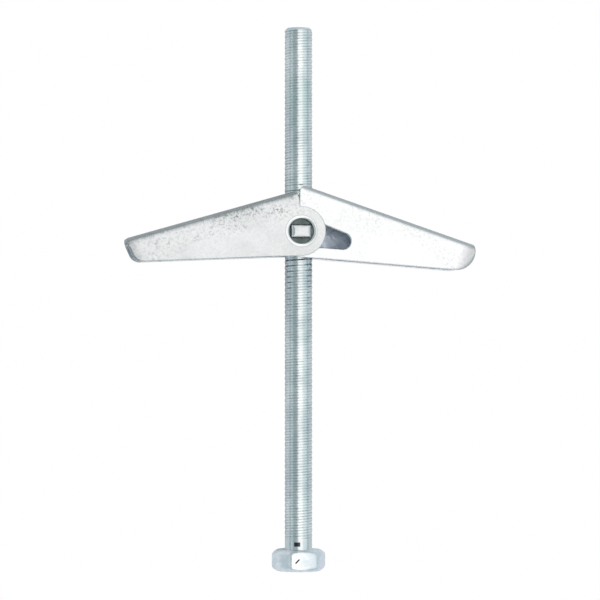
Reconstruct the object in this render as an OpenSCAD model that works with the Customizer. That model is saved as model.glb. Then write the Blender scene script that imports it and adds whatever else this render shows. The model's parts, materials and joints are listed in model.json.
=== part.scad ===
// Spring toggle bolt: a hex bolt, a trunnion nut and two sprung sheet wings.
// Lengths are in millimetres and angles in degrees.
// The bolt lies along +Y, from the bearing face of its head at the origin.
// The wings open along X and turn about Z, and +Z is up.

/* [Bolt] */
// Length from the head's bearing face to the tip
bolt_len = 120; // [100:1:200]
// Diameter over the thread's crests
thread_d = 6.35; // [5:0.05:7]
// Advance of the thread in one turn
thread_pitch = 1.27; // [0.8:0.01:1.6]
// Bevel at the tip
tip_bevel = 0.6; // [0.2:0.1:1.2]
// Width of the hex head across its flats
head_af = 11.11; // [10:0.01:13]
// Height of the hex head
head_h = 5; // [3:0.1:6]
// Turn of the hex head about the bolt
head_turn = 8; // [0:0.5:30]

/* [Nut] */
// Distance from the bearing face to the nut's pivot line
nut_y = 73.05; // [60:0.05:90]
// Metal left beside the thread at the nut's waist
nut_wall = 1.45; // [1:0.05:2.5]
// Radius of the two necks that carry the spring
neck_r = 3.3; // [3:0.05:3.8]
// Width of each rectangular lug
lug_w = 4.75; // [4:0.05:5.2]
// Height of each rectangular lug
lug_h = 3.1; // [2.4:0.1:4]

/* [Wings] */
// Thickness of the sheet
sheet_t = 1; // [0.8:0.05:1.4]
// Outside radius of the two long bends
bend_r = 1.8; // [1.5:0.05:2.4]
// Length of the left wing along its web, from the pivot to the tip
left_len = 39.3; // [34:0.1:48]
// Length of the right wing along its web, from the pivot to the tip
right_len = 39.2; // [34:0.1:48]
// Height of the left wing's web over the pivot
left_web_h = 9.2; // [9:0.05:12]
// Height of the right wing's web over the pivot
right_web_h = 10.25; // [9:0.05:12]
// Radius of the left wing's ears
left_ear_r = 5.65; // [5.2:0.05:7]
// Radius of the right wing's ears
right_ear_r = 5.9; // [5.2:0.05:7]
// Narrowing of the left wing towards its tip
left_taper = 13.6; // [10:0.1:16]
// Narrowing of the right wing towards its tip
right_taper = 14.4; // [10:0.1:16]
// Radius of the left wing's lower tip corners
left_tip_r = 2.6; // [1:0.1:4.6]
// Radius of the right wing's lower tip corners
right_tip_r = 4.4; // [1:0.1:4.6]
// Lean of the left wing's tip from square to its web, inwards at the bottom
left_lean = 7.3; // [-20:0.1:10]
// Lean of the right wing's tip from square to its web, inwards at the bottom
right_lean = -19.1; // [-20:0.1:10]
// Drop of the left wing's web below square to the bolt
left_tilt = 15.8; // [12:0.1:22]
// Drop of the right wing's web below square to the bolt
right_tilt = 19.1; // [12:0.1:22]

/* [Window] */
// Radius of the inner wall's window round the lug
window_r = 3.35; // [3.1:0.05:3.8]
// Distance from the pivot to the window's far end centre
window_reach = 9.8; // [7:0.1:14]
// Radius of the window's far end
window_end_r = 1.9; // [1.2:0.05:2.4]
// Angle of the window above the web's direction
window_rise = 5.7; // [0:0.1:10]

/* [Spring] */
// Diameter of the spring wire
wire_d = 0.65; // [0.5:0.05:0.7]
// Length of the two free legs under the left wing
free_leg = 17; // [12:0.5:24]
// Length of the closed leg under the right wing
closed_leg = 16; // [12:0.5:24]

/* [Clearances] */
// Between the bolt and the nut's bore, on the radius
bore_gap = 0.06; // [0.03:0.01:0.1]
// Between a lug's corners and the outer wall's hole, on the radius
pivot_gap = 0.08; // [0.03:0.01:0.1]
// Between the two wings' walls
wall_gap = 0.1; // [0.05:0.01:0.3]
// Between the nut's ends and the inner walls
end_gap = 0.1; // [0.05:0.01:0.3]
// Between the spring and what it lies against
spring_gap = 0.05; // [0.03:0.01:0.1]
// Between the bolt and the notch in each web
notch_gap = 0.7; // [0.4:0.05:1.2]
// Between the bolt and the hub ends of the bends beside it
hub_gap = 0.3; // [0.2:0.05:0.5]
// Between one wing's web and the other wing's inner wall when open
stop_gap = 0.35; // [0.2:0.05:0.6]

/* [Hidden] */
$fn = 96;
through = 60;
nib = 0.01;
skim = 0.05;

// Bolt
thread_r = thread_d / 2;
neck_len = 2 * thread_pitch;
run_out_r = thread_r - 0.05;
head_corner_r = head_af / sqrt(3);
head_face_r = 0.88 * head_af / 2;
head_bevel = 30;

// Spring turns round each neck: the outer turn runs into a free leg, the inner one into the closed leg
wire_r = wire_d / 2;
coil_r = neck_r + spring_gap + wire_r;
coil_pitch = wire_d + spring_gap;

// Nut, from its middle outwards along the pivot line
waist_r = thread_r + nut_wall;
waist_half = 3.6;
coil_in_z = waist_half + spring_gap + wire_r;
coil_out_z = coil_in_z + coil_pitch;
nut_half = coil_out_z + wire_r;
lug_r = norm([lug_w, lug_h]) / 2 - nib;
hole_r = lug_r + pivot_gap;
hole_rim_r = hole_r + 0.6;
hole_rim_depth = 0.4;

// Wing walls, as distances from the middle plane
inner_face = nut_half + end_gap;
inner_back = inner_face + sheet_t;
outer_face = inner_back + wall_gap;
outer_back = outer_face + sheet_t;
lug_end = outer_back - 0.1;
inside_r = bend_r - sheet_t;
web_half = thread_r + hub_gap;

// Hub ends of the walls and of the web, as distances from the pivot line square to the bolt
hub_inner = -0.15;
hub_outer = 0.25;
hub_corner_r = 1.2;
web_start = stop_gap - hub_inner;
notch_r = thread_r + notch_gap;

tip_top_r = 0.9;

function turned(p, a) = [p[0] * cos(a) - p[1] * sin(a), p[0] * sin(a) + p[1] * cos(a)];

// Where two lines meet, each given by a point and a direction
function crossing(p, d, q, e) =
    let (k = ((q[0] - p[0]) * e[1] - (q[1] - p[1]) * e[0]) / (d[0] * e[1] - d[1] * e[0]))
    p + k * d;

// One corner of an outline rounded to radius r, as points on its arc
function arc_corner(a, b, c, r, steps = 8) =
    let (
        u = (a - b) / norm(a - b),
        v = (c - b) / norm(c - b),
        half = acos(u * v) / 2,
        centre = b + (u + v) / norm(u + v) * r / sin(half),
        from = b + u * r / tan(half) - centre,
        side = sign(u[0] * v[1] - u[1] * v[0]),
        sweep = -side * (180 - 2 * half)
    )
    [for (i = [0:steps]) centre + turned(from, sweep * i / steps)];

// A closed outline with each corner rounded to its own radius
function rounded(points, radii) =
    let (n = len(points))
    [for (i = [0:n - 1])
        each radii[i] > 0
            ? arc_corner(points[(i + n - 1) % n], points[i], points[(i + 1) % n], radii[i])
            : [points[i]]];

// Turns what is drawn about Z so that it lies about the bolt
module along_bolt() {
    rotate([-90, 0, 0]) children();
}

// HEX BOLT

// Hex prism with both ends bevelled, below the bearing face
module hex_head() {
    past_corner_r = head_corner_r + 1;
    drop = (past_corner_r - head_face_r) * tan(head_bevel);
    intersection() {
        translate([0, 0, -head_h])
            rotate([0, 0, head_turn])
                cylinder(r = head_corner_r, h = head_h, $fn = 6);
        rotate_extrude()
            polygon([
                [0, 0],
                [head_face_r, 0],
                [past_corner_r, -drop],
                [past_corner_r, -head_h + drop],
                [head_face_r, -head_h],
                [0, -head_h]
            ]);
    }
}

module hex_bolt() {
    color("lightsteelblue")
        along_bolt()
            union() {
                hex_head();
                rotate_extrude()
                    polygon([
                        [0, -head_h / 2],
                        [run_out_r, -head_h / 2],
                        [run_out_r, neck_len],
                        [thread_r, neck_len],
                        [thread_r, bolt_len - tip_bevel],
                        [thread_r - tip_bevel, bolt_len],
                        [0, bolt_len]
                    ]);
            }
}

// TRUNNION NUT

// Rectangular lug with its corners turned to the radius that runs in the outer wall's hole
module lug_section() {
    intersection() {
        square([lug_w, lug_h], center = true);
        circle(r = lug_r);
    }
}

module trunnion_nut() {
    color("slategray")
        translate([0, nut_y, 0])
            difference() {
                union() {
                    cylinder(r = waist_r, h = 2 * waist_half, center = true);
                    cylinder(r = neck_r, h = 2 * nut_half, center = true);
                    linear_extrude(height = 2 * lug_end, center = true)
                        lug_section();
                }
                along_bolt()
                    cylinder(r = thread_r + bore_gap, h = through, center = true);
            }
}

// WINGS
// A wing is drawn with its pivot at the origin, its web along +X and square to +Y,
// and its inner wall on the +Z side.

// Section of the channel's skin, as [height, across], open downwards
module channel_skin(web_h) {
    web_under = web_h - sheet_t;
    polygon(concat(
        rounded(
            [[-through, inner_back], [web_h, inner_back], [web_h, -outer_back], [-through, -outer_back]],
            [0, bend_r, bend_r, 0]
        ),
        rounded(
            [[-through, -outer_face], [web_under, -outer_face], [web_under, inner_face],
                [-through, inner_face]],
            [0, inside_r, inside_r, 0]
        )
    ));
}

module channel(web_h) {
    translate([-through / 2, 0, 0])
        rotate([90, 0, 90])
            linear_extrude(height = 2 * through)
                channel_skin(web_h);
}

// Side outline of a wall: round ear, straight hub end, tapering lower edge and rounded tip
module wall_outline(len, web_h, ear_r, taper, lean, tip_r, tilt, hub) {
    up = [-sin(tilt), cos(tilt)];
    hub_foot = hub * [cos(tilt), sin(tilt)];
    hub_top = crossing(hub_foot, up, [0, web_h], [1, 0]);
    tip_top = [len, web_h];
    foot = ear_r * [sin(taper), -cos(taper)];
    tip_low = crossing(tip_top, [-sin(lean), -cos(lean)], foot, [cos(taper), sin(taper)]);
    circle(r = ear_r);
    polygon(rounded(
        [hub_top, hub_foot, foot, tip_low, tip_top],
        [hub_corner_r, 0, 0, tip_r, tip_top_r]
    ));
}

// Round end at the lug and a smaller round end outboard, joined by straight flanks
module window_outline() {
    far = window_reach * [cos(window_rise), sin(window_rise)];
    open = acos((window_r - window_end_r) / window_reach);
    over = [cos(window_rise + open), sin(window_rise + open)];
    under = [cos(window_rise - open), sin(window_rise - open)];
    circle(r = window_r);
    translate(far) circle(r = window_end_r);
    polygon([
        window_r * over,
        window_r * under,
        far + window_end_r * under,
        far + window_end_r * over
    ]);
}

module wing(len, web_h, ear_r, taper, lean, tip_r, tilt) {
    difference() {
        intersection() {
            channel(web_h);
            union() {
                translate([0, 0, web_half])
                    linear_extrude(height = through)
                        wall_outline(len, web_h, ear_r, taper, lean, tip_r, tilt, hub_inner);
                translate([0, 0, -web_half - through])
                    linear_extrude(height = through)
                        wall_outline(len, web_h, ear_r, taper, lean, tip_r, tilt, hub_outer);
                translate([0, web_h - bend_r, -web_half - nib])
                    cube([len, through, 2 * (web_half + nib)]);
            }
        }
        // clearance for the bolt
        rotate([-90, 0, 0])
            cylinder(r = notch_r, h = through);
        // room for the other wing's inner wall beside the end of the web
        rotate([0, 0, tilt])
            translate([web_start - through, web_h - bend_r, -outer_face - skim])
                cube([through, through, outer_face]);
        // window in the inner wall
        linear_extrude(height = through)
            window_outline();
        // bearing hole in the outer wall, with its rim
        translate([0, 0, -through])
            cylinder(r = hole_r, h = through);
        translate([0, 0, -outer_back - nib])
            cylinder(r1 = hole_rim_r, r2 = hole_r, h = hole_rim_depth + nib);
    }
}

module right_wing() {
    color("whitesmoke")
        translate([0, nut_y, 0])
            rotate([0, 0, -right_tilt])
                wing(right_len, right_web_h, right_ear_r, right_taper, right_lean, right_tip_r, right_tilt);
}

module left_wing() {
    color("gainsboro")
        translate([0, nut_y, 0])
            rotate([0, 0, left_tilt])
                rotate([0, 180, 0])
                    wing(left_len, left_web_h, left_ear_r, left_taper, left_lean, left_tip_r, left_tilt);
}

// TORSION SPRING
// One wire: free leg, one turn round the near neck, closed leg across, one turn round the far
// neck, free leg. A station is [point, direction, a normal to the direction].

// How far a leg rises from the web's direction so that its end reaches a height over the pivot
function leg_rise(leg, high) = asin(high / norm([leg, coil_r])) - atan(coil_r / leg);

// The free legs lie in the bend beside an inner wall, the closed leg against the flat web
leg_room = inside_r - wire_r - spring_gap;
leg_in_bend = inside_r - wire_r - end_gap;
flat_drop = wire_r + spring_gap;
bend_drop = leg_in_bend > 0 ? inside_r - sqrt(max(0, leg_room ^ 2 - leg_in_bend ^ 2)) : flat_drop;
left_dir = leg_rise(free_leg, left_web_h - sheet_t - bend_drop) - left_tilt;
right_dir = leg_rise(closed_leg, right_web_h - sheet_t - flat_drop) - right_tilt;
left_out = [-cos(left_dir), sin(left_dir), 0];
right_out = [cos(right_dir), sin(right_dir), 0];
turn_steps = 24;
elbow_r = 1;
elbow_steps = 4;
up_z = [0, 0, 1];

turn_from = 90 - left_dir;
turn_to = 90 + right_dir - 360;

function turn_station(i) =
    let (
        a = turn_from + (turn_to - turn_from) * i / turn_steps,
        z = coil_out_z + (coil_in_z - coil_out_z) * i / turn_steps
    )
    [[coil_r * cos(a), coil_r * sin(a), z], [sin(a), -cos(a), 0], up_z];

function elbow_station(i) =
    let (
        a = 90 * i / elbow_steps,
        start = turn_station(turn_steps)[0] + (closed_leg - elbow_r) * right_out
    )
    [start + elbow_r * (sin(a) * right_out - (1 - cos(a)) * up_z),
        cos(a) * right_out - sin(a) * up_z,
        sin(a) * right_out + cos(a) * up_z];

near_half = concat(
    [[turn_station(0)[0] + free_leg * left_out, -left_out, up_z]],
    [for (i = [0:turn_steps]) turn_station(i)],
    [for (i = [0:elbow_steps]) elbow_station(i)]
);

function mirrored(s) =
    [[s[0][0], s[0][1], -s[0][2]], [-s[1][0], -s[1][1], s[1][2]], [s[2][0], s[2][1], -s[2][2]]];

stations = concat(near_half, [for (i = [len(near_half) - 1:-1:0]) mirrored(near_half[i])]);

// Round wire of radius r through the stations
module wire(list, r, sides = 10) {
    rings = [for (s = list)
        let (b = cross(s[1], s[2]))
        for (k = [0:sides - 1])
            s[0] + r * (cos(360 * k / sides) * s[2] + sin(360 * k / sides) * b)];
    last = (len(list) - 1) * sides;
    faces = concat(
        [[for (k = [0:sides - 1]) k]],
        [for (i = [0:len(list) - 2])
            for (k = [0:sides - 1])
                let (
                    a = i * sides + k,
                    b = i * sides + (k + 1) % sides
                )
                each [[a, a + sides, b], [b, a + sides, b + sides]]],
        [[for (k = [sides - 1:-1:0]) last + k]]
    );
    polyhedron(rings, faces);
}

module torsion_spring() {
    color("silver")
        translate([0, nut_y, 0])
            wire(stations, wire_r);
}

hex_bolt();
trunnion_nut();
left_wing();
right_wing();
torsion_spring();
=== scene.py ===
"""Looks of a spring toggle bolt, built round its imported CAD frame.

The shapes are drawn in millimetres, in the frame's axes: the bolt along +Y, the wings turning
about Z.
"""

import json
import math

import bmesh
import bpy
import numpy as np
from mathutils import Matrix, Vector
from mathutils.geometry import delaunay_2d_cdt


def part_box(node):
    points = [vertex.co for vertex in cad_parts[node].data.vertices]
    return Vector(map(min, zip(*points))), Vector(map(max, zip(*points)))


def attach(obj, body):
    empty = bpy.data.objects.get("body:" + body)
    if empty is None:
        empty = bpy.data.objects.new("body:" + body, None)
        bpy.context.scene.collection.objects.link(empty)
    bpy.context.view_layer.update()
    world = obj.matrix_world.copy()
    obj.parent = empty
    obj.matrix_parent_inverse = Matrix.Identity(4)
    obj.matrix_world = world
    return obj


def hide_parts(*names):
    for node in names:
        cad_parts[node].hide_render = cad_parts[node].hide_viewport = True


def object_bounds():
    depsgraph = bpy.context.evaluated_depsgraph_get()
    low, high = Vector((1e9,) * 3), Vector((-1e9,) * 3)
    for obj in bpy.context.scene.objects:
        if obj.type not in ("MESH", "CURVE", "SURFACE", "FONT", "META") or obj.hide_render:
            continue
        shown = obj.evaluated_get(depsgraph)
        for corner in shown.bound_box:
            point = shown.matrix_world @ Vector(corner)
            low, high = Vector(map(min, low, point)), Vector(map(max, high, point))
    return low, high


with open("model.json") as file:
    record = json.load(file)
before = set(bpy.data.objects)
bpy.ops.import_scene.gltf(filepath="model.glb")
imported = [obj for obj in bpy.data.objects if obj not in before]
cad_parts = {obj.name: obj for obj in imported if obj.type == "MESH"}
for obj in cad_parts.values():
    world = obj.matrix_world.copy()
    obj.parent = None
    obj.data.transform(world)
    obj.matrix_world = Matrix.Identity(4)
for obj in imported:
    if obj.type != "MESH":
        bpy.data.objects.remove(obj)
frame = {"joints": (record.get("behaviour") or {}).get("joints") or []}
cad_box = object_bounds()

MM = 0.001
JOINTS = {joint["name"]: joint for joint in frame["joints"]}
NUT_Y = JOINTS["left_wing_fold"]["pos_m"][1] / MM
BOLT_LOW, BOLT_HIGH = (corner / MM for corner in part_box("hex_bolt"))
FLOOR_Z = cad_box[0].z

# Bolt. The shank's neck starts inside the head, at SHANK_LOW.
THREAD_R = 3.175
THREAD_PITCH = 1.27
THREAD_DEPTH = 0.1
SHANK_LOW = -1.0
NECK_R = 3.125
NECK_LEN = 2.54
NECK_FILLET = 0.35
TIP_BEVEL = 0.6
HEAD_AF = 11.11
HEAD_H = -BOLT_LOW.y
HEAD_TURN = math.radians(8)
HEAD_FACE_R = 4.89
HEAD_BEVEL = math.radians(30)
HEAD_CORNER_R = 0.8
HEAD_CROWN = 0.25
HEAD_EDGE_R = 1.1

# The dark patch on the neck: lowest and highest (x, y)
NECK_PATCH_LOW = (-1.4, 0.6)
NECK_PATCH_HIGH = (0.2, 1.8)
NECK_PATCH_SOFT = 0.2

# The nick across the head's upper face: its middle (x, y), and where it starts and ends fading
# along it and on each side of it
# The nick is drawn only in colour: painted shade in its middle, painted highlight on its lips.
NICK_AT = (-0.8, -2.5)
NICK_REACH = (0.7, 1.2)
NICK_SHADE = (0.17, 0.32)
NICK_HIGHLIGHT = (0.5, 0.8)

# Nut
WAIST_R = 4.625
WAIST_HALF = 3.6
NUT_NECK_R = 3.3
NUT_HALF = 5.0
LUG_W = 4.75
LUG_H = 3.1
LUG_CORNER_R = 2.726
LUG_END = 7.1
BORE_R = 3.235

# Wings, each drawn with its pivot at the origin, its web along +X and its inner wall towards +Z
SHEET_T = 1.0
BEND_R = 1.8
INNER_BACK = 6.1
OUTER_BACK = 7.2
TIP_TOP_R = 0.6
HUB_INNER = -0.4
HUB_OUTER = 0.25
HUB_WEB_SETBACK = 0.25
HUB_CORNER_R = 1.2
NOTCH_R = 3.875
HOLE_R = 2.906
WINDOW_R = 3.35
WINDOW_REACH = 9.8
WINDOW_END_R = 1.9
WINDOW_RISE = math.radians(5.7)
RIGHT = {
    "length": 39.2,
    "web_h": 10.25,
    "ear_r": 5.9,
    "taper": math.radians(14.4),
    "lean": math.radians(-19.1),
    "tip_r": 4.4,
    "tilt": math.radians(19.1),
}
LEFT = {
    "length": 39.3,
    "web_h": 9.2,
    "ear_r": 5.65,
    "taper": math.radians(13.6),
    "lean": math.radians(7.3),
    "tip_r": 2.6,
    "tilt": math.radians(15.8),
}

# Spring
WIRE_R = 0.325
COIL_R = 3.675
COIL_IN_Z = 3.975
COIL_OUT_Z = 4.675
FREE_LEG = 17.0
CLOSED_LEG = 16.0
ELBOW_R = 1.0
CLOSED_LEG_DROP = 0.375
FREE_LEG_DROP = 0.6
FOLD_TURN = math.radians(80)


# ---------------------------------------------------------------- meshes


def new_object(name, vertices, faces, material, second=None, second_from=0):
    """A mesh object from points in millimetres.

    Faces from second_from on take the second material.
    """
    mesh = bpy.data.meshes.new(name)
    mesh.from_pydata([[c * MM for c in v] for v in vertices], [], faces)
    mesh.materials.append(material)
    if second:
        mesh.materials.append(second)
        for polygon in mesh.polygons[second_from:]:
            polygon.material_index = 1
    bm = bmesh.new()
    bm.from_mesh(mesh)
    bmesh.ops.remove_doubles(bm, verts=bm.verts, dist=2e-7)
    bmesh.ops.dissolve_degenerate(bm, edges=bm.edges, dist=1e-7)
    bmesh.ops.recalc_face_normals(bm, faces=bm.faces)
    bm.to_mesh(mesh)
    bm.free()
    for polygon in mesh.polygons:
        polygon.use_smooth = True
    obj = bpy.data.objects.new(name, mesh)
    bpy.context.scene.collection.objects.link(obj)
    return obj


def grid_faces(rows, columns, first=0):
    """Quads between closed rows of points, which are numbered from first."""
    faces = []
    for i in range(rows - 1):
        a, b = first + i * columns, first + (i + 1) * columns
        for j in range(columns):
            k = (j + 1) % columns
            faces.append((a + j, a + k, b + k, b + j))
    return faces


def capped_grid(rows):
    """Vertices and faces of closed rows of points, capped with a fan at each end."""
    columns = len(rows[0])
    vertices = [tuple(p) for row in rows for p in row]
    faces = grid_faces(len(rows), columns)
    for row, first in ((rows[0], 0), (rows[-1], (len(rows) - 1) * columns)):
        centre = np.mean(np.array(row), axis=0)
        vertices.append(tuple(centre))
        hub = len(vertices) - 1
        faces += [(first + j, first + (j + 1) % columns, hub) for j in range(columns)]
    return vertices, faces


def rounded_profile(points, radii):
    """An open polyline with each inner corner rounded to its own radius."""
    points = [np.array(p, float) for p in points]
    out = [points[0]]
    for before, corner, after, radius in zip(points, points[1:], points[2:], radii):
        out += arc_corner(before, corner, after, radius, 5)
    return out + [points[-1]]


def arc_corner(before, corner, after, radius, steps=8):
    """Points on the arc that rounds one corner."""
    u = (before - corner) / np.linalg.norm(before - corner)
    v = (after - corner) / np.linalg.norm(after - corner)
    half = math.acos(np.clip(u @ v, -1, 1)) / 2
    reach = radius / math.tan(half)
    centre = corner + (u + v) / np.linalg.norm(u + v) * radius / math.sin(half)
    start, end = corner + u * reach - centre, corner + v * reach - centre
    sweep = math.pi - 2 * half
    return [
        centre
        + (start * math.sin((1 - t) * sweep) + end * math.sin(t * sweep)) / math.sin(sweep)
        for t in np.linspace(0, 1, steps + 1)
    ]


def smoothstep(x, low, high):
    """0 up to low, 1 from high, and smooth between."""
    t = np.clip((x - low) / (high - low), 0, 1)
    return t * t * (3 - 2 * t)


# ---------------------------------------------------------------- bolt

# The thread's profile over one pitch: (share of the pitch, share of the thread's depth)
THREAD_PROFILE = (
    (-0.50, 0.00),
    (-0.42, 0.03),
    (-0.36, 0.13),
    (-0.14, 0.87),
    (-0.08, 0.98),
    (0.00, 1.00),
    (0.08, 0.98),
    (0.14, 0.87),
    (0.36, 0.13),
    (0.42, 0.03),
)


def shank_mesh(columns=48):
    """Plain neck, right-hand thread and bevelled tip, as one helical strip.

    What would pass an end is pressed flat onto it, for close_square_ends.
    """
    low, high = SHANK_LOW, BOLT_HIGH.y
    turns = int((high - low) / THREAD_PITCH) + 3
    phases = [(n + p, share) for n in range(-2, turns) for p, share in THREAD_PROFILE]
    rows = len(phases)
    angles = np.arange(columns + 1) / columns
    y = low + THREAD_PITCH * (np.array([p for p, _ in phases])[:, None] + angles[None, :])
    share = np.repeat(np.array([s for _, s in phases])[:, None], columns + 1, axis=1)
    end_phase = (np.clip(y, low, high) - low) / THREAD_PITCH - angles[None, :]
    at_end = np.interp(
        (end_phase + 0.5) % 1 - 0.5,
        [p for p, _ in THREAD_PROFILE] + [0.5],
        [s for _, s in THREAD_PROFILE] + [0.0],
    )
    share = np.where((y < low) | (y > high), at_end, share)
    y = np.clip(y, low, high)
    cut = smoothstep(y, NECK_LEN - 0.5, NECK_LEN + 0.9)
    crest = NECK_R + (THREAD_R - NECK_R) * cut
    radius = crest - THREAD_DEPTH * (1 - share) * cut
    fillet = np.clip(NECK_FILLET - y, 0, NECK_FILLET)
    radius += NECK_FILLET - np.sqrt(NECK_FILLET**2 - fillet**2)
    radius = np.minimum(radius, THREAD_R - np.clip(y - (high - TIP_BEVEL), 0, None))
    turn = 2 * math.pi * angles[None, :]
    points = np.stack([radius * np.sin(turn), y, radius * np.cos(turn)], axis=-1)

    per_turn = len(THREAD_PROFILE)
    vertices = [tuple(points[i, j]) for i in range(rows) for j in range(columns)]
    faces = []
    for i in range(rows - per_turn - 1):
        for j in range(columns):
            a, d = i * columns + j, (i + 1) * columns + j
            if j + 1 < columns:
                b, c = a + 1, d + 1
            else:
                b, c = (i + per_turn) * columns, (i + per_turn + 1) * columns
            faces.append((a, b, c, d))
    return vertices, faces, low, high


def close_square_ends(obj, low, high):
    """Drops the faces pressed flat onto the two end planes and caps the ends."""
    bm = bmesh.new()
    bm.from_mesh(obj.data)
    for level in (low * MM, high * MM):
        flat = [f for f in bm.faces if all(abs(v.co.y - level) < 1e-8 for v in f.verts)]
        bmesh.ops.delete(bm, geom=flat, context="FACES")
    loose = [v for v in bm.verts if not v.link_faces]
    bmesh.ops.delete(bm, geom=loose, context="VERTS")
    edges = [e for e in bm.edges if len(e.link_faces) == 1]
    bmesh.ops.holes_fill(bm, edges=edges, sides=0)
    bmesh.ops.recalc_face_normals(bm, faces=bm.faces)
    bm.to_mesh(obj.data)
    bm.free()


def hex_radius(angle):
    """Radius of the hex, with its corners rounded, at an angle from a corner's direction."""
    half_side = math.pi / 6
    from_flat = abs(angle % (2 * half_side) - half_side)
    apothem = HEAD_AF / 2
    inner = apothem - HEAD_CORNER_R
    if apothem * math.tan(from_flat) <= inner * math.tan(half_side):
        return apothem / math.cos(from_flat)
    to_corner = half_side - from_flat
    centre = inner / math.cos(half_side)
    across = centre * math.sin(to_corner)
    return centre * math.cos(to_corner) + math.sqrt(HEAD_CORNER_R**2 - across**2)


def head_mesh(columns=144):
    """Hex head with both ends bevelled and every edge softened."""
    under_neck, end_hub, least_drop = 0.5 * NECK_R, 0.4, 0.02
    rows = None
    for j in range(columns):
        angle = 2 * math.pi * j / columns
        r = hex_radius(angle - HEAD_TURN)
        r += HEAD_CROWN * (hex_radius(0) - r)
        drop = max((r - HEAD_FACE_R) * math.tan(HEAD_BEVEL), least_drop)
        profile = rounded_profile(
            [
                (under_neck, 0),
                (HEAD_FACE_R, 0),
                (r, -drop),
                (r, -HEAD_H + drop),
                (HEAD_FACE_R, -HEAD_H),
                (end_hub, -HEAD_H),
            ],
            [HEAD_EDGE_R / 3, HEAD_EDGE_R, HEAD_EDGE_R, HEAD_EDGE_R / 3],
        )
        column = [(p[0] * math.cos(angle), p[1], -p[0] * math.sin(angle)) for p in profile]
        rows = rows or [[] for _ in column]
        for row, point in zip(rows, column):
            row.append(point)
    return capped_grid(rows)


# ---------------------------------------------------------------- nut


def lug_radius(angle, inset):
    """Radius of the lug's section, drawn in by inset on every side."""
    flat = min(
        (LUG_W / 2 - inset) / max(abs(math.cos(angle)), 1e-6),
        (LUG_H / 2 - inset) / max(abs(math.sin(angle)), 1e-6),
    )
    return min(flat, LUG_CORNER_R - inset)


def nut_mesh(columns=120):
    """Waist, necks and lugs as rings round the pivot line, from one lug's end to the other's."""
    neck_edge, end_edge = 0.3, 1.0
    waist = rounded_profile(
        [(0, WAIST_R), (WAIST_HALF, WAIST_R), (WAIST_HALF, NUT_NECK_R), (NUT_HALF, NUT_NECK_R)],
        [0.35, 0.15],
    )
    # each ring: z, then its radius, or the lug's inset
    half = [(z, r, None) for z, r in waist]
    # the neck's end, the foot of the lug in it, and the lug's rounded end
    for t in np.linspace(0, 1, 5):
        drop = neck_edge * (1 - math.cos(t * math.pi / 2))
        half.append((NUT_HALF, NUT_NECK_R - drop, None))
    half.append((NUT_HALF, None, -0.05))
    half.append((NUT_HALF + 0.06, None, 0.0))
    for t in np.linspace(0, 1, 7):
        a = t * math.pi / 2
        drop = end_edge * (1 - math.sin(a))
        half.append((LUG_END - drop, None, end_edge * (1 - math.cos(a))))
    rings = [(-z, r, k) for z, r, k in reversed(half[1:])] + half
    rows = []
    for z, radius, inset in rings:
        row = []
        for j in range(columns):
            angle = 2 * math.pi * (j + 0.5) / columns
            r = radius if inset is None else lug_radius(angle, inset)
            row.append((r * math.cos(angle), r * math.sin(angle), z))
        rows.append(row)
    return capped_grid(rows)


def bored(obj, radius):
    """Cuts the bolt's bore through obj, along Y."""
    rim = 0.45
    reach = 6.0
    profile = [
        (-reach, radius + rim),
        (-WAIST_R + rim, radius + rim),
        (-WAIST_R + 2 * rim, radius),
        (WAIST_R - 2 * rim, radius),
        (WAIST_R - rim, radius + rim),
        (reach, radius + rim),
    ]
    columns = 64
    rows = []
    for y, r in profile:
        angles = 2 * math.pi * (np.arange(columns) + 0.5) / columns
        rows.append([(r * math.cos(a), y, r * math.sin(a)) for a in angles])
    vertices, faces = capped_grid(rows)
    cutter = new_object("bore_cutter", vertices, faces, obj.data.materials[0])
    modifier = obj.modifiers.new("bore", "BOOLEAN")
    modifier.operation = "DIFFERENCE"
    modifier.solver = "EXACT"
    modifier.object = cutter
    evaluated = obj.evaluated_get(bpy.context.evaluated_depsgraph_get())
    mesh = bpy.data.meshes.new_from_object(evaluated)
    obj.modifiers.clear()
    obj.data = mesh
    bpy.data.objects.remove(cutter)
    mesh.set_sharp_from_angle(angle=math.radians(40))


# ---------------------------------------------------------------- wings

MID_R = BEND_R - SHEET_T / 2
TURN = math.pi / 2
BEND = MID_R * TURN
WEB_FLAT = INNER_BACK + OUTER_BACK - 2 * BEND_R


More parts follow.
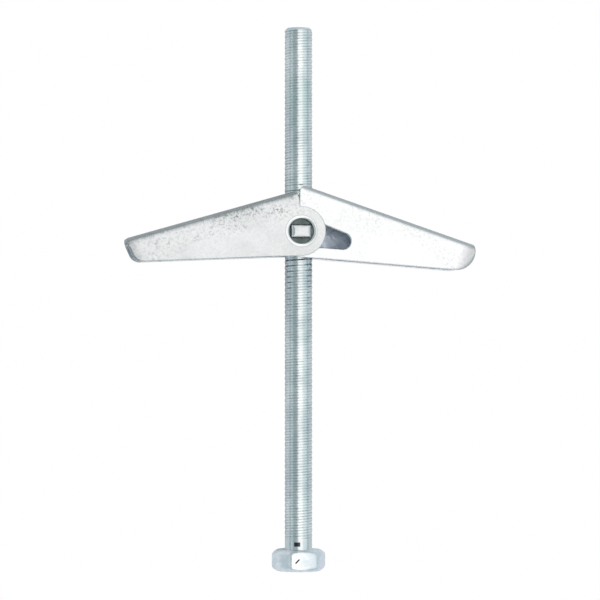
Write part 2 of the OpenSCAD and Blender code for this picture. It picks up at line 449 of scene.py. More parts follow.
class Skin:
    """The folded sheet of a wing, by places s along it.

    s runs up the inner wall, over the web and down the outer wall.
    """

    def __init__(self, web_h):
        self.wall = web_h - BEND_R
        self.in_end = self.wall + BEND
        self.out_start = self.in_end + WEB_FLAT
        self.out_end = self.out_start + BEND
        self.span = self.out_end + self.wall

    def outer(self, s):
        """Outer skin at each place s: points (height, across) and outward normals."""
        s = np.asarray(s, float)
        turn = np.clip((s - self.wall) / MID_R, 0, TURN)
        turn = turn + np.clip((s - self.out_start) / MID_R, 0, TURN)
        normal = np.stack([np.sin(turn), np.cos(turn)], axis=-1)
        across = np.where(s < self.in_end, INNER_BACK - BEND_R, BEND_R - OUTER_BACK)
        point = np.stack([np.full_like(s, self.wall), across], axis=-1) + BEND_R * normal
        inner_wall = np.stack([s, np.full_like(s, INNER_BACK)], axis=-1)
        point = np.where((s < self.wall)[..., None], inner_wall, point)
        web_across = INNER_BACK - BEND_R - (s - self.in_end)
        web = np.stack([np.full_like(s, self.wall + BEND_R), web_across], axis=-1)
        on_web = ((s >= self.in_end) & (s < self.out_start))[..., None]
        point = np.where(on_web, web, point)
        outer_wall = np.stack([self.span - s, np.full_like(s, -OUTER_BACK)], axis=-1)
        return np.where((s >= self.out_end)[..., None], outer_wall, point), normal

    def fold(self, points, depth):
        """Takes blank points (x, s), at a depth under the outer skin, to the folded wing."""
        points = np.asarray(points, float)
        skin, normal = self.outer(points[:, 1])
        place = skin - np.asarray(depth)[..., None] * normal
        return np.column_stack([points[:, 0], place])

    def web_place(self, across):
        """The place s on the web at a distance across from the middle plane."""
        return self.in_end + INNER_BACK - BEND_R - across

    def wall_place(self, heights, outer):
        """The places s of heights on the outer or the inner wall, over its bend."""
        bend = self.wall + np.linspace(0, BEND, 40)
        over = self.outer(bend)[0][:, 0]
        place = np.where(heights <= self.wall, heights, np.interp(heights, over, bend))
        return self.span - place if outer else place


def crossing(p, d, q, e):
    """Where two lines meet, each given by a point and a direction."""
    k = ((q[0] - p[0]) * e[1] - (q[1] - p[1]) * e[0]) / (d[0] * e[1] - d[1] * e[0])
    return p + k * d


def wall_edge(wing, hub):
    """One wall's edge in (x, height): from its hub's top, round the ear, to the top of its tip."""
    tilt, taper, lean, ear_r = wing["tilt"], wing["taper"], wing["lean"], wing["ear_r"]
    up = np.array([-math.sin(tilt), math.cos(tilt)])
    side = np.array([math.cos(tilt), math.sin(tilt)])
    hub_top = crossing(hub * side, up, np.array([0, wing["web_h"]]), np.array([1.0, 0]))
    on_ear = hub * side + up * math.sqrt(ear_r**2 - hub**2)
    foot = ear_r * np.array([math.sin(taper), -math.cos(taper)])
    lower = np.array([math.cos(taper), math.sin(taper)])
    start = math.atan2(on_ear[1], on_ear[0])
    end = math.atan2(foot[1], foot[0])
    angles = np.linspace(start, end + 2 * math.pi, 60)
    ear = [ear_r * np.array([math.cos(a), math.sin(a)]) for a in angles]
    tip_top = np.array([wing["length"], wing["web_h"]])
    tip_low = crossing(tip_top, np.array([-math.sin(lean), -math.cos(lean)]), foot, lower)
    beyond_hub = hub_top + np.array([4.0, 0])
    before_tip = tip_top - np.array([4.0, 0])
    return np.array(
        arc_corner(beyond_hub, hub_top, ear[0], HUB_CORNER_R)
        + ear
        + arc_corner(ear[-1], tip_low, tip_top, wing["tip_r"], 14)
        + arc_corner(tip_low, tip_top, before_tip, TIP_TOP_R)
    )


def resampled(points, step):
    """The same closed polyline with a point about every step."""
    points = np.array(points, float)
    points = np.vstack([points, points[:1]])
    lengths = np.r_[0, np.cumsum(np.linalg.norm(np.diff(points, axis=0), axis=1))]
    keep = np.r_[True, np.diff(lengths) > 1e-9]
    points, lengths = points[keep], lengths[keep]
    count = max(3, int(round(lengths[-1] / step)))
    at = np.linspace(0, lengths[-1], count + 1)[:count]
    return np.column_stack([np.interp(at, lengths, points[:, k]) for k in (0, 1)])


def blank_outline(wing, skin):
    """Edge of the flat blank in (x, s): inner wall, web with the bolt's notch, outer wall."""
    inner, outer = wall_edge(wing, HUB_INNER), wall_edge(wing, HUB_OUTER)
    # towards the web, the outer wall's hub steps back from the other wing
    setback = HUB_WEB_SETBACK * smoothstep(outer[:, 1], wing["web_h"] - 2.3, wing["web_h"] - 1.7)
    at_hub = outer[:, 0] < 5
    outer[:, 0] += setback * at_hub
    inner[:, 1] = skin.wall_place(inner[:, 1], False)
    outer[:, 1] = skin.wall_place(outer[:, 1], True)
    notch_from = math.radians(108)
    notch = [
        (NOTCH_R * math.cos(a), skin.web_place(NOTCH_R * math.sin(a)))
        for a in np.linspace(-notch_from, notch_from, 50)
    ]
    outline = resampled(np.vstack([inner, outer[::-1], notch]), 0.25)
    x, s = outline.T
    # both ends are eased where they cross the bends and the web
    crossing_bends = smoothstep(s, skin.wall - 1, skin.wall)
    crossing_bends *= 1 - smoothstep(s, skin.out_end, skin.out_end + 1)
    at_ends = (x < 0) | (x > wing["length"] - 4)
    eased = 0.5 * crossing_bends * at_ends
    for _ in range(16):
        middle = (np.roll(outline, 1, axis=0) + np.roll(outline, -1, axis=0)) / 2
        outline += eased[:, None] * (middle - outline)
    return resampled(outline, 0.35)


def window_edge():
    """The inner wall's window: a round end at the lug and a smaller one outboard."""
    opening = math.acos((WINDOW_R - WINDOW_END_R) / WINDOW_REACH)
    far = WINDOW_REACH * np.array([math.cos(WINDOW_RISE), math.sin(WINDOW_RISE)])
    near = np.linspace(WINDOW_RISE + opening, WINDOW_RISE + 2 * math.pi - opening, 50)
    end = np.linspace(WINDOW_RISE - opening, WINDOW_RISE + opening, 24)
    points = [WINDOW_R * np.array([math.cos(a), math.sin(a)]) for a in near]
    points += [far + WINDOW_END_R * np.array([math.cos(a), math.sin(a)]) for a in end]
    return resampled(points, 0.35)


def hole_edge(skin):
    """The outer wall's round bearing hole."""
    angles = np.linspace(0, 2 * math.pi, 72, endpoint=False)
    return np.column_stack([HOLE_R * np.cos(angles), skin.span + HOLE_R * np.sin(angles)])


def inward(loop):
    """Normals of a closed loop, to its left, lengthened at its corners as a mitre is."""
    ahead = np.roll(loop, -1, axis=0) - loop
    behind = loop - np.roll(loop, 1, axis=0)
    ahead /= np.linalg.norm(ahead, axis=1)[:, None]
    behind /= np.linalg.norm(behind, axis=1)[:, None]
    left = np.column_stack([-(ahead + behind)[:, 1], (ahead + behind)[:, 0]])
    length = np.linalg.norm(left, axis=1)
    return left / length[:, None] / np.maximum(length / 2, 0.6)[:, None]


def area(loop):
    """Area of a closed loop, above zero if it runs anticlockwise."""
    x, y = loop[:, 0], loop[:, 1]
    return 0.5 * np.sum(x * np.roll(y, -1) - np.roll(x, -1) * y)


def inside(points, loop):
    """Which points are inside a closed loop."""
    x, y = points[:, 0][:, None], points[:, 1][:, None]
    x0, y0 = loop[:, 0][None], loop[:, 1][None]
    x1, y1 = np.roll(loop[:, 0], -1)[None], np.roll(loop[:, 1], -1)[None]
    spans = (y0 > y) != (y1 > y)
    with np.errstate(divide="ignore", invalid="ignore"):
        cut = x0 + (y - y0) * (x1 - x0) / (y1 - y0)
    return (np.sum(spans & (x < cut), axis=1) % 2) == 1


def skin_triangles(loops, skin):
    """The inner points of a skin, and triangles that fill it between its outline and its holes."""
    margin = 6
    row_step, column_step, bend_rows = 1.5, 1.1, 9
    rows = np.r_[
        np.arange(-margin, skin.wall, row_step),
        np.linspace(skin.wall, skin.in_end, bend_rows),
        np.arange(skin.in_end + 1, skin.out_start, row_step),
        np.linspace(skin.out_start, skin.out_end, bend_rows),
        np.arange(skin.out_end + row_step, skin.span + margin, row_step),
    ]
    columns = np.arange(-margin, loops[0][:, 0].max() + 2, column_step)
    shifts = [0.5 * column_step * (i % 2) for i in range(len(rows))]
    points = np.array([(x + shift, s) for s, shift in zip(rows, shifts) for x in columns])
    kept = inside(points, loops[0])
    for hole in loops[1:]:
        kept &= ~inside(points, hole)
    edge = np.vstack(loops)
    edge_room = 0.3
    to_edge = np.min(np.linalg.norm(points[:, None] - edge[None], axis=2), axis=1)
    points = points[kept & (to_edge >= edge_room)]
    all_points = np.vstack([edge, points])
    edges, start = [], 0
    for loop in loops:
        edges += [(start + i, start + (i + 1) % len(loop)) for i in range(len(loop))]
        start += len(loop)
    _, _, triangles, origins, _, _ = delaunay_2d_cdt(
        [Vector(p) for p in all_points], edges, [], 0, 1e-7
    )
    index = [o[0] for o in origins]
    triangles = np.array([[index[i] for i in t] for t in triangles])
    return points, triangles[reached(triangles, edges, len(edge))]


def reached(triangles, walls, first_inner):
    """Which triangles can be reached from an inner point without crossing an edge of the skin."""
    walls = {frozenset(pair) for pair in walls}
    sides = [[frozenset((t[i], t[i - 1])) for i in range(3)] for t in triangles.tolist()]
    across = {}
    for t, own in enumerate(sides):
        for side in own:
            across.setdefault(side, []).append(t)
    found = triangles.max(axis=1) >= first_inner
    waiting = np.flatnonzero(found).tolist()
    while waiting:
        for side in sides[waiting.pop()]:
            for t in () if side in walls else across[side]:
                if not found[t]:
                    found[t] = True
                    waiting.append(t)
    return found


def edge_sizes(loop, kind, wing, skin):
    """How far the outer skin rolls over at each edge point: width across the skin and depth."""
    x, s = loop.T
    if kind != "outline":
        return np.full(len(loop), 0.65 if kind == "hole" else 0.3), np.full(len(loop), 0.3)
    outboard = smoothstep(x, 3, 9)
    width, depth = 0.28 + 0.27 * outboard, 0.26 + 0.19 * outboard
    # wider at the inner wall's tip, narrower over the web
    at_tip = smoothstep(x, wing["length"] - 6, wing["length"] - 1)
    at_tip *= 1 - smoothstep(s, skin.wall - 4, skin.wall + 0.5)
    width += 1.2 * at_tip
    depth += 0.3 * at_tip
    on_web = smoothstep(s, skin.wall - 1, skin.wall + 0.5)
    on_web *= 1 - smoothstep(s, skin.out_end - 0.5, skin.out_end + 1)
    width -= (width - 0.25) * on_web
    depth -= (depth - 0.2) * on_web
    return width, depth


def wing_mesh(wing):
    """Sheet with rolled outer edges and nearly square inner ones, folded from its flat blank.

    The inner skin's faces come last; the third value is the number of the first of them.
    """
    skin = Skin(wing["web_h"])
    loops = [blank_outline(wing, skin), window_edge(), hole_edge(skin)]
    kinds = ["outline", "window", "hole"]
    inner_edge = 0.12
    support = 0.06
    rolls = np.linspace(0, math.pi / 2, 6)
    vertices, faces = [], []
    skins = {"outer": [], "inner": []}
    for loop, kind in zip(loops, kinds):
        if (area(loop) > 0) != (kind == "outline"):
            loop = loop[::-1]
        normal = inward(loop)
        width, depth = edge_sizes(loop, kind, wing, skin)
        rings = [(width + support, np.zeros_like(depth))]
        rings += [(width * (1 - math.sin(a)), depth * (1 - math.cos(a))) for a in rolls]
        even = np.ones(len(loop))
        for a in rolls[::2]:
            under = SHEET_T - inner_edge * (1 - math.sin(a))
            rings.append((inner_edge * (1 - math.cos(a)) * even, under * even))
        rings.append(((inner_edge + support) * even, SHEET_T * even))
        first = len(vertices)
        for inset, under in rings:
            blank = loop + normal * inset[:, None]
            vertices += skin.fold(blank, under).tolist()
        faces += grid_faces(len(rings), len(loop), first)
        last = first + (len(rings) - 1) * len(loop)
        skins["outer"].append((loop + normal * rings[0][0][:, None], first))
        skins["inner"].append((loop + normal * rings[-1][0][:, None], last))
    for side, depth in (("outer", 0.0), ("inner", SHEET_T)):
        edge_loops = [loop for loop, _ in skins[side]]
        points, triangles = skin_triangles(edge_loops, skin)
        index = np.concatenate([first + np.arange(len(loop)) for loop, first in skins[side]])
        index = np.r_[index, len(vertices) + np.arange(len(points))]
        vertices += skin.fold(points, np.full(len(points), depth)).tolist()
        inside_from = len(faces)
        faces += [tuple(int(index[i]) for i in t) for t in triangles]
    return vertices, faces, inside_from


# ---------------------------------------------------------------- spring


def tube(points, radius, sides=12):
    """Round wire along points, with slightly rounded ends."""
    points = np.array(points, float)
    ahead = np.gradient(points, axis=0)
    ahead /= np.linalg.norm(ahead, axis=1)[:, None]
    normal = np.array([0.0, 0, 1]) if abs(ahead[0][2]) < 0.9 else np.array([1.0, 0, 0])
    rows = []
    end = 0.3 * radius
    stations = [(points[0], ahead[0], 0.7)]
    stations += [(points[0] + end * ahead[0], ahead[0], 1.0)]
    stations += [(p, d, 1.0) for p, d in zip(points[1:-1], ahead[1:-1])]
    stations += [(points[-1] - end * ahead[-1], ahead[-1], 1.0), (points[-1], ahead[-1], 0.7)]
    for point, direction, share in stations:
        normal = normal - (normal @ direction) * direction
        normal /= np.linalg.norm(normal)
        side = np.cross(direction, normal)
        angles = 2 * math.pi * np.arange(sides) / sides
        rows.append(
            [
                tuple(point + share * radius * (math.cos(a) * normal + math.sin(a) * side))
                for a in angles
            ]
        )
    return capped_grid(rows)


def leg_angle(leg, drop, wing):
    """Angle of a leg over square to the bolt: its end lies a drop below its wing's web."""
    height = wing["web_h"] - SHEET_T - drop
    return math.asin(height / math.hypot(leg, COIL_R)) - math.atan(COIL_R / leg) - wing["tilt"]


LEFT_DIR = leg_angle(FREE_LEG, FREE_LEG_DROP, LEFT)
RIGHT_DIR = leg_angle(CLOSED_LEG, CLOSED_LEG_DROP, RIGHT)
TURN_FROM = math.pi / 2 - LEFT_DIR
TURN_TO = math.pi / 2 + RIGHT_DIR - 2 * math.pi


def on_coil(angle, z):
    return np.array([COIL_R * math.cos(angle), COIL_R * math.sin(angle), z])


def coil_points(side):
    """One turn round a neck, flat where a leg winds on or off it."""
    points = []
    for t in np.linspace(0, 1, 60):
        angle = TURN_FROM + (TURN_TO - TURN_FROM) * t
        share = float(smoothstep(t, 0.25, 0.75))
        points.append(on_coil(angle, side * (COIL_OUT_Z + (COIL_IN_Z - COIL_OUT_Z) * share)))
    return points


def free_leg_points(side):
    """A free leg, with the arc that winds onto the coil as its wing folds."""
    z = side * COIL_OUT_Z
    out = np.array([-math.cos(LEFT_DIR), math.sin(LEFT_DIR), 0])
    start = on_coil(TURN_FROM, z)
    points = [on_coil(TURN_FROM - FOLD_TURN * t, z) for t in np.linspace(1, 0, 16)]
    return points + [start + out * FREE_LEG * t for t in np.linspace(0.1, 1, 8)]


def closed_leg_points():
    """The closed leg: both sides, the stretch across under the web, and an arc at each coil."""
    out = np.array([math.cos(RIGHT_DIR), math.sin(RIGHT_DIR), 0])
    up = np.array([0.0, 0, 1])
    half = [on_coil(TURN_TO + FOLD_TURN * t, COIL_IN_Z) for t in np.linspace(1, 0, 16)]
    start = half[-1]
    half += [start + out * (CLOSED_LEG - ELBOW_R) * t for t in np.linspace(0.1, 1, 8)]
    bend = start + out * (CLOSED_LEG - ELBOW_R) - up * ELBOW_R
    for a in np.linspace(0.2, 1, 7) * math.pi / 2:
        half.append(bend + ELBOW_R * (math.sin(a) * out + math.cos(a) * up))
    return half + [p * np.array([1, 1, -1]) for p in reversed(half)]


# ---------------------------------------------------------------- materials


class Nodes:
    """Builds the node tree of a material or world.

    A node's inputs are given by name, or by number after an underscore.
    """

    def __init__(self, owner):
        self.owner = owner
        owner.use_nodes = True
        self.tree = owner.node_tree
        self.tree.nodes.clear()

    def add(self, kind, settings=None, **inputs):
        node = self.tree.nodes.new("ShaderNode" + kind)
        for key, value in (settings or {}).items():
            setattr(node, key, value)
        for key, value in inputs.items():
            by_number = key.startswith("_")
            socket = node.inputs[int(key[1:]) if by_number else key.replace("_", " ")]
            if isinstance(value, bpy.types.NodeSocket):
                self.tree.links.new(value, socket)
            else:
                socket.default_value = value
        return node

    def coordinates(self):
        return self.add("TexCoord").outputs["Object"]

    def axes(self, vector):
        return self.add("SeparateXYZ", _0=vector).outputs

    def noise(self, vector, scale, detail, roughness=0.55):
        return self.add(
            "TexNoise", Vector=vector, Scale=scale, Detail=detail, Roughness=roughness
        ).outputs["Fac"]

    def ramp(self, value, low, high, out_low=0.0, out_high=1.0):
        return self.add(
            "MapRange", {"interpolation_type": "SMOOTHSTEP"},
            Value=value, From_Min=low, From_Max=high, To_Min=out_low, To_Max=out_high,
        ).outputs[0]

    def fall(self, value, low, high, top=1.0):
        """The top up to low, fading to 0 at high."""
        return self.ramp(value, low, high, top, 0.0)

    def band(self, value, low, high, soft):
        """1 between low and high, with soft ends, all in millimetres."""
        rise = self.ramp(value, low * MM, (low + soft) * MM)
        return self.product(rise, self.fall(value, (high - soft) * MM, high * MM))

    def math(self, operation, a, b=0.0):
        return self.add("Math", {"operation": operation}, _0=a, _1=b).outputs[0]

    def product(self, first, *others):
        for other in others:
            first = self.math("MULTIPLY", first, other)
        return first

    def mix(self, factor, a, b):
        node = self.add("Mix", {"data_type": "RGBA"}, Factor=factor)
        for socket, value in ((node.inputs[6], a), (node.inputs[7], b)):
            if isinstance(value, bpy.types.NodeSocket):
                self.tree.links.new(value, socket)
            else:
                socket.default_value = (*value, 1.0)
        return node.outputs[2]

    def seen_white(self, seen_kind, lit):
        """Plain white to the camera, and the lit shader to every other ray."""
        path = self.add("LightPath")
        seen = self.add(seen_kind, Color=(1, 1, 1, 1), Strength=1.0)
        return self.add(
            "MixShader", _0=path.outputs["Is Camera Ray"], _1=lit.outputs[0], _2=seen.outputs[0]
        ).outputs[0]

    def metal(self, color, roughness, bump_depth, strength, height):
        """Finishes a metal with a bump of that depth in metres."""
        bump = self.add("Bump", Strength=strength, Distance=bump_depth, Height=height)
        shader = self.add(
            "BsdfPrincipled", Metallic=1.0, Base_Color=color, Roughness=roughness,
            Normal=bump.outputs[0],
        )
        self.add("OutputMaterial", _0=shader.outputs[0])
        return self.owner


def new_material(name):
    return Nodes(bpy.data.materials.new(name))


def zinc(name, dark, light, tint, rough, grain_scale, grain_depth):
    """Zinc plate: cloudy colour, a faint tint and fine grain."""
    n = new_material(name)
    at = n.coordinates()
    cloud = n.ramp(n.noise(at, 140.0, 4.0), 0.35, 0.65)
    color = n.mix(cloud, dark, light)
    tinted = n.ramp(n.noise(at, 60.0, 2.0), 0.52, 0.72, 0.0, 0.6)
    color = n.mix(tinted, color, tint)
    grain = n.noise(at, grain_scale, 3.0, 0.7)
    roughness = n.ramp(grain, 0.3, 0.7, rough - 0.06, rough + 0.08)
    return n.metal(color, roughness, grain_depth, 0.5, grain)


def thread_zinc():
    """Zinc on the rolled thread: two rings a turn painted darker as painted shade of its grooves,
    and a dark patch beside the head.
    """
    n = new_material("bolt_zinc")
    at = n.coordinates()
    x, y, z = n.axes(at)
    cloud = n.ramp(n.noise(at, 140.0, 4.0), 0.35, 0.65)
    color = n.mix(cloud, (0.68, 0.72, 0.73), (0.86, 0.88, 0.88))
    tinted = n.ramp(n.noise(at, 60.0, 2.0), 0.52, 0.72, 0.0, 0.6)
    color = n.mix(tinted, color, (0.70, 0.80, 0.77))
    # turns along the thread, counted from the shank's low end
    turns = n.math("DIVIDE", n.math("SUBTRACT", y, SHANK_LOW * MM), THREAD_PITCH * MM)
    around = n.math("DIVIDE", n.math("ARCTAN2", x, z), 2 * math.pi)
    phase = n.math("MULTIPLY", n.math("SUBTRACT", turns, around), 4 * math.pi)
    threaded = n.ramp(y, (NECK_LEN - 0.4) * MM, (NECK_LEN + 0.4) * MM)
    # painted shade: the thread's flanks are darker, two rings a turn, for the shade in its shallow
    # grooves
    flank = n.product(n.ramp(n.math("COSINE", phase), 0.5, -0.8), threaded)
    uneven = n.ramp(n.noise(at, 500.0, 2.0), 0.3, 0.7, 0.25, 0.75)
    color = n.mix(n.product(flank, uneven), color, (0.36, 0.43, 0.44))
    # the dark patch, on the upper side only
    neck_patch = n.product(
        n.band(x, NECK_PATCH_LOW[0], NECK_PATCH_HIGH[0], NECK_PATCH_SOFT),
        n.band(y, NECK_PATCH_LOW[1], NECK_PATCH_HIGH[1], NECK_PATCH_SOFT),
        n.ramp(z, 2.0 * MM, 2.5 * MM),
    )
    color = n.mix(neck_patch, color, (0.05, 0.06, 0.075))
    grain = n.noise(at, 900.0, 3.0, 0.7)
    height = n.math("ADD", n.product(n.math("SUBTRACT", 1.0, flank), 0.6), n.product(grain, 0.6))
    return n.metal(color, n.ramp(grain, 0.3, 0.7, 0.16, 0.28), 0.07 * MM, 0.5, height)


def head_zinc():
    """Bright zinc on the forged head, with a nick across its upper face in painted shade and
    painted highlight.
    """
    n = new_material("head_zinc")
    at = n.coordinates()
    x, y, z = n.axes(at)
    cloud = n.ramp(n.noise(at, 320.0, 4.0), 0.35, 0.65)
    color = n.mix(cloud, (0.72, 0.78, 0.81), (0.92, 0.94, 0.96))
    tinted = n.ramp(n.noise(at, 150.0, 2.0), 0.5, 0.7, 0.0, 0.7)
    color = n.mix(tinted, color, (0.80, 0.80, 0.92))
    # the nick runs up to the right: a dark line of painted shade, with painted highlights on its
    # lips
    from_x = n.math("SUBTRACT", x, NICK_AT[0] * MM)
    from_y = n.math("SUBTRACT", y, NICK_AT[1] * MM)
    along = n.math("ABSOLUTE", n.math("ADD", from_x, from_y))
    apart = n.math("ABSOLUTE", n.math("SUBTRACT", from_y, from_x))
    short, soft_end = (reach * MM for reach in NICK_REACH)
    on_nick = n.product(n.fall(along, short, soft_end), n.ramp(z, 4.0 * MM, 4.5 * MM))
    for (inner, outer), tone in ((NICK_HIGHLIGHT, (0.98, 0.98, 0.98)), (NICK_SHADE, (0.03, 0.03, 0.035))):
        color = n.mix(n.product(on_nick, n.fall(apart, inner * MM, outer * MM)), color, tone)
    grain = n.noise(at, 1100.0, 3.0, 0.7)
    return n.metal(color, n.ramp(grain, 0.3, 0.7, 0.26, 0.38), 0.08 * MM, 0.6, grain)


def wing_zinc(name, dark, light, tint, grain, wing):
    """Zinc on pressed sheet: smooth in the middle, grainy along the bend and the tip, with painted
    shade over the bend and at the very tip.
    """
    n = new_material(name)
    at = n.coordinates()
    x, y, _ = n.axes(at)
    bend_y, tip_x = wing["web_h"] * MM, wing["length"] * MM
    cloud = n.ramp(n.noise(at, 90.0, 3.0), 0.35, 0.65)
    color = n.mix(cloud, dark, light)
    color = n.mix(n.ramp(n.noise(at, 45.0, 2.0), 0.5, 0.75, 0.0, 0.5), color, tint)
    near_bend = n.ramp(y, bend_y - 7.0 * MM, bend_y - 2.2 * MM)
    near_tip = n.ramp(x, tip_x - 13.0 * MM, tip_x - 2.0 * MM)
    spread = n.ramp(n.noise(at, 220.0, 2.0), 0.35, 0.65, 0.2, 1.0)
    grainy = n.product(n.math("MAXIMUM", near_bend, near_tip), spread)
    speckle = n.noise(at, 1500.0, 2.0, 0.8)
    marks = n.product(n.ramp(speckle, 0.5, 0.66), grainy, grain)
    color = n.mix(marks, color, tuple(0.4 * c for c in dark))
    # painted shade: darker over the bend and at the very tip
    over_bend = n.ramp(y, bend_y - 1.1 * MM, bend_y - 0.3 * MM, 0.0, 0.75)
    at_tip = n.ramp(x, tip_x - 3.5 * MM, tip_x - 0.2 * MM, 0.0, 0.75)
    color = n.mix(n.math("MAXIMUM", over_bend, at_tip), color, tuple(0.55 * c for c in dark))
    # painted highlight: a bright ring round the pivot, with a fine line of painted shade outside it
    flat = n.add("CombineXYZ", X=x, Y=y).outputs[0]
    reach = n.add("VectorMath", {"operation": "LENGTH"}, _0=flat).outputs["Value"]
    color = n.mix(n.fall(reach, 3.45 * MM, 3.6 * MM, 0.8), color, (0.90, 0.90, 0.90))
    line = n.product(
        n.ramp(reach, 3.52 * MM, 3.62 * MM),
        n.fall(reach, 3.66 * MM, 3.8 * MM, 0.45),
    )
    color = n.mix(line, color, (0.30, 0.32, 0.32))
    height = n.product(speckle, n.ramp(grainy, 0.0, 1.0, 0.12, 1.0))
    return n.metal(color, n.ramp(speckle, 0.3, 0.7, 0.25, 0.37), 0.2 * grain * MM, 0.6, height)


def nut_zinc():
    """Bright on the lugs' ends; the necks and the waist behind them are painted dark greenish, as
    painted shade inside the wings' holes.
    """
    n = new_material("nut_zinc")
    at = n.coordinates()
    _, _, z = n.axes(at)
    cloud = n.ramp(n.noise(at, 260.0, 4.0), 0.3, 0.7)
    painted_neck_shade = n.mix(cloud, (0.10, 0.125, 0.12), (0.26, 0.31, 0.29))
    bright = n.mix(cloud, (0.60, 0.62, 0.63), (0.82, 0.82, 0.82))
    on_lug = n.ramp(n.math("ABSOLUTE", z), 5.1 * MM, 6.0 * MM)
    # painted shade: the necks and the waist take the dark colour, and only the lugs' ends keep the
    # bright zinc
    color = n.mix(on_lug, painted_neck_shade, bright)
    grain = n.noise(at, 700.0, 3.0, 0.7)
    return n.metal(color, n.ramp(grain, 0.3, 0.7, 0.24, 0.38), 0.04 * MM, 0.5, grain)


BOLT_ZINC = thread_zinc()
HEAD_ZINC = head_zinc()
NUT_ZINC = nut_zinc()
# The left wing's zinc is a darker copy of the right wing's: painted shade for the dimmer light on
# its side.
LEFT_ZINC = wing_zinc(
    "left_wing_zinc",
    dark=(0.65, 0.66, 0.66), light=(0.73, 0.73, 0.74), tint=(0.67, 0.70, 0.66),
    grain=1.0, wing=LEFT,
)
RIGHT_ZINC = wing_zinc(
    "right_wing_zinc",
    dark=(0.82, 0.82, 0.82), light=(0.88, 0.88, 0.88), tint=(0.84, 0.84, 0.87),
    grain=0.25, wing=RIGHT,
)
# The wings' inner skin takes a darker, bluer copy of the zinc: painted shade inside the channels.
INSIDE_SHADED_ZINC = zinc(
    "wing_inside_shaded_zinc",
    dark=(0.30, 0.35, 0.41), light=(0.62, 0.68, 0.76), tint=(0.44, 0.52, 0.54),
    rough=0.32, grain_scale=800.0, grain_depth=0.05 * MM,
)
SPRING_STEEL = zinc(
    "spring_steel",
    dark=(0.30, 0.31, 0.33), light=(0.45, 0.46, 0.48), tint=(0.38, 0.38, 0.42),
    rough=0.25, grain_scale=1200.0, grain_depth=0.02 * MM,
)


# ---------------------------------------------------------------- the object


def place(obj, body, slot, replaced):
    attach(obj, body)
    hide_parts(replaced)


def build_bolt():
    vertices, faces, low, high = shank_mesh()
    shank = new_object("bolt_shank", vertices, faces, BOLT_ZINC)
    close_square_ends(shank, low, high)
    place(shank, "bolt", "bolt_zinc", "hex_bolt")
    head = new_object("bolt_head", *head_mesh(), HEAD_ZINC)
    place(head, "bolt", "bolt_zinc", "hex_bolt")


def at_pivot(obj, turn):
    obj.matrix_world = Matrix.Translation((0, NUT_Y * MM, 0)) @ turn


def build_nut():
    nut = new_object("nut_body", *nut_mesh(), NUT_ZINC)
    bored(nut, BORE_R)
    at_pivot(nut, Matrix.Identity(4))
    place(nut, "nut", "nut_zinc", "trunnion_nut")


def build_wings():
    right_turn = Matrix.Rotation(-RIGHT["tilt"], 4, "Z")
    left_turn = Matrix.Rotation(LEFT["tilt"], 4, "Z") @ Matrix.Rotation(math.pi, 4, "Y")
    wings = [
        ("right_wing", RIGHT, right_turn, RIGHT_ZINC),
        ("left_wing", LEFT, left_turn, LEFT_ZINC),
    ]
    for name, sizes, turn, material in wings:
        vertices, faces, inside_from = wing_mesh(sizes)
        wing = new_object(name + "_sheet", vertices, faces, material, INSIDE_SHADED_ZINC, inside_from)
        at_pivot(wing, turn)
        place(wing, name, "wing_zinc", name)


def build_spring():
    thin = 0.94 * WIRE_R
    parts = [
        ("spring_coil_front", coil_points(1), WIRE_R, "nut"),
        ("spring_coil_back", coil_points(-1), WIRE_R, "nut"),
        ("spring_leg_front", free_leg_points(1), thin, "left_wing"),
        ("spring_leg_back", free_leg_points(-1), thin, "left_wing"),
        ("spring_leg_closed", closed_leg_points(), thin, "right_wing"),
    ]
    for name, points, radius, body in parts:
        wire = new_object(name, *tube(points, radius), SPRING_STEEL)
        at_pivot(wire, Matrix.Identity(4))
        place(wire, body, "spring_steel", "torsion_spring")


# ---------------------------------------------------------------- studio


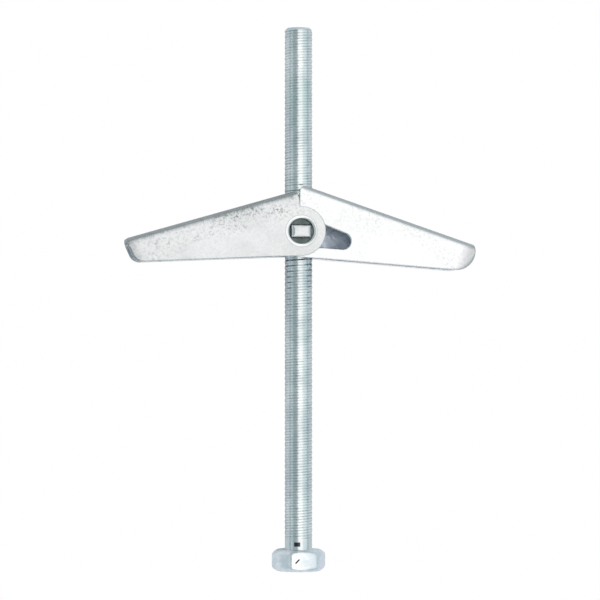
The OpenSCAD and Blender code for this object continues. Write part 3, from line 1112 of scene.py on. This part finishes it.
def floor():
    """A plain pale floor under the lowest point of the object."""
    reach = 3.0
    mesh = bpy.data.meshes.new("floor")
    corners = [(-reach, -reach), (reach, -reach), (reach, reach), (-reach, reach)]
    mesh.from_pydata([(x, y, FLOOR_Z) for x, y in corners], [], [(0, 1, 2, 3)])
    n = new_material("floor_pale")
    lit = n.add("BsdfDiffuse", Color=(0.86, 0.88, 0.91, 1))
    n.add("OutputMaterial", _0=n.seen_white("Emission", lit))
    mesh.materials.append(n.owner)
    obj = bpy.data.objects.new("floor", mesh)
    bpy.context.scene.collection.objects.link(obj)


def studio_light():
    """A white ceiling over greyer walls, dim and cool on the left, softer on the right."""
    scene = bpy.context.scene
    scene.world = bpy.data.worlds.new("studio")
    n = Nodes(scene.world)
    x, _, z = n.axes(n.add("TexCoord").outputs["Generated"])
    walls, ceiling = 0.80, 1.27
    level = n.ramp(z, 0.26, 0.36, walls, ceiling)
    # direction from the zenith about the bolt's axis, to the right
    angle = n.math("ARCTAN2", x, z)
    on_left = n.fall(angle, math.radians(-14), math.radians(-7))
    on_right = n.ramp(angle, math.radians(30), math.radians(55))
    left_share = n.ramp(angle, math.radians(-66), math.radians(-50), 0.66, 0.36)
    dim_left = n.add("MapRange", Value=on_left, To_Min=1.0, To_Max=left_share).outputs[0]
    dim_right = n.ramp(angle, math.radians(22), math.radians(40), 1.0, 0.72)
    hue = n.mix(n.math("MAXIMUM", on_left, on_right), (1, 1, 1), (0.84, 0.99, 1.03))
    lit = n.add("Background", Color=hue, Strength=n.product(level, dim_left, dim_right))
    n.add("OutputWorld", _0=n.seen_white("Background", lit))
    scene.view_settings.view_transform = "Standard"


def camera():
    """Looks nearly straight down, from a little towards the left wing and the head."""
    lens, sensor = 200.0, 36.0
    view_width = 138.27
    towards_left = math.radians(5.6)
    towards_head = math.radians(0.5)
    centre = Vector((0.35, 57.33, 0)) * MM
    back = Vector((-math.tan(towards_left), -math.tan(towards_head), 1)).normalized()
    side = Vector((0, 1, 0)).cross(back).normalized()
    up = back.cross(side)
    data = bpy.data.cameras.new("camera")
    data.lens, data.sensor_width = lens, sensor
    distance = view_width / sensor * lens * MM
    obj = bpy.data.objects.new("camera", data)
    turn = Matrix((side, up, back)).transposed().to_4x4()
    obj.matrix_world = Matrix.Translation(centre + back * distance) @ turn
    bpy.context.scene.collection.objects.link(obj)
    bpy.context.scene.camera = obj


build_bolt()
build_nut()
build_wings()
build_spring()
floor()
studio_light()
camera()
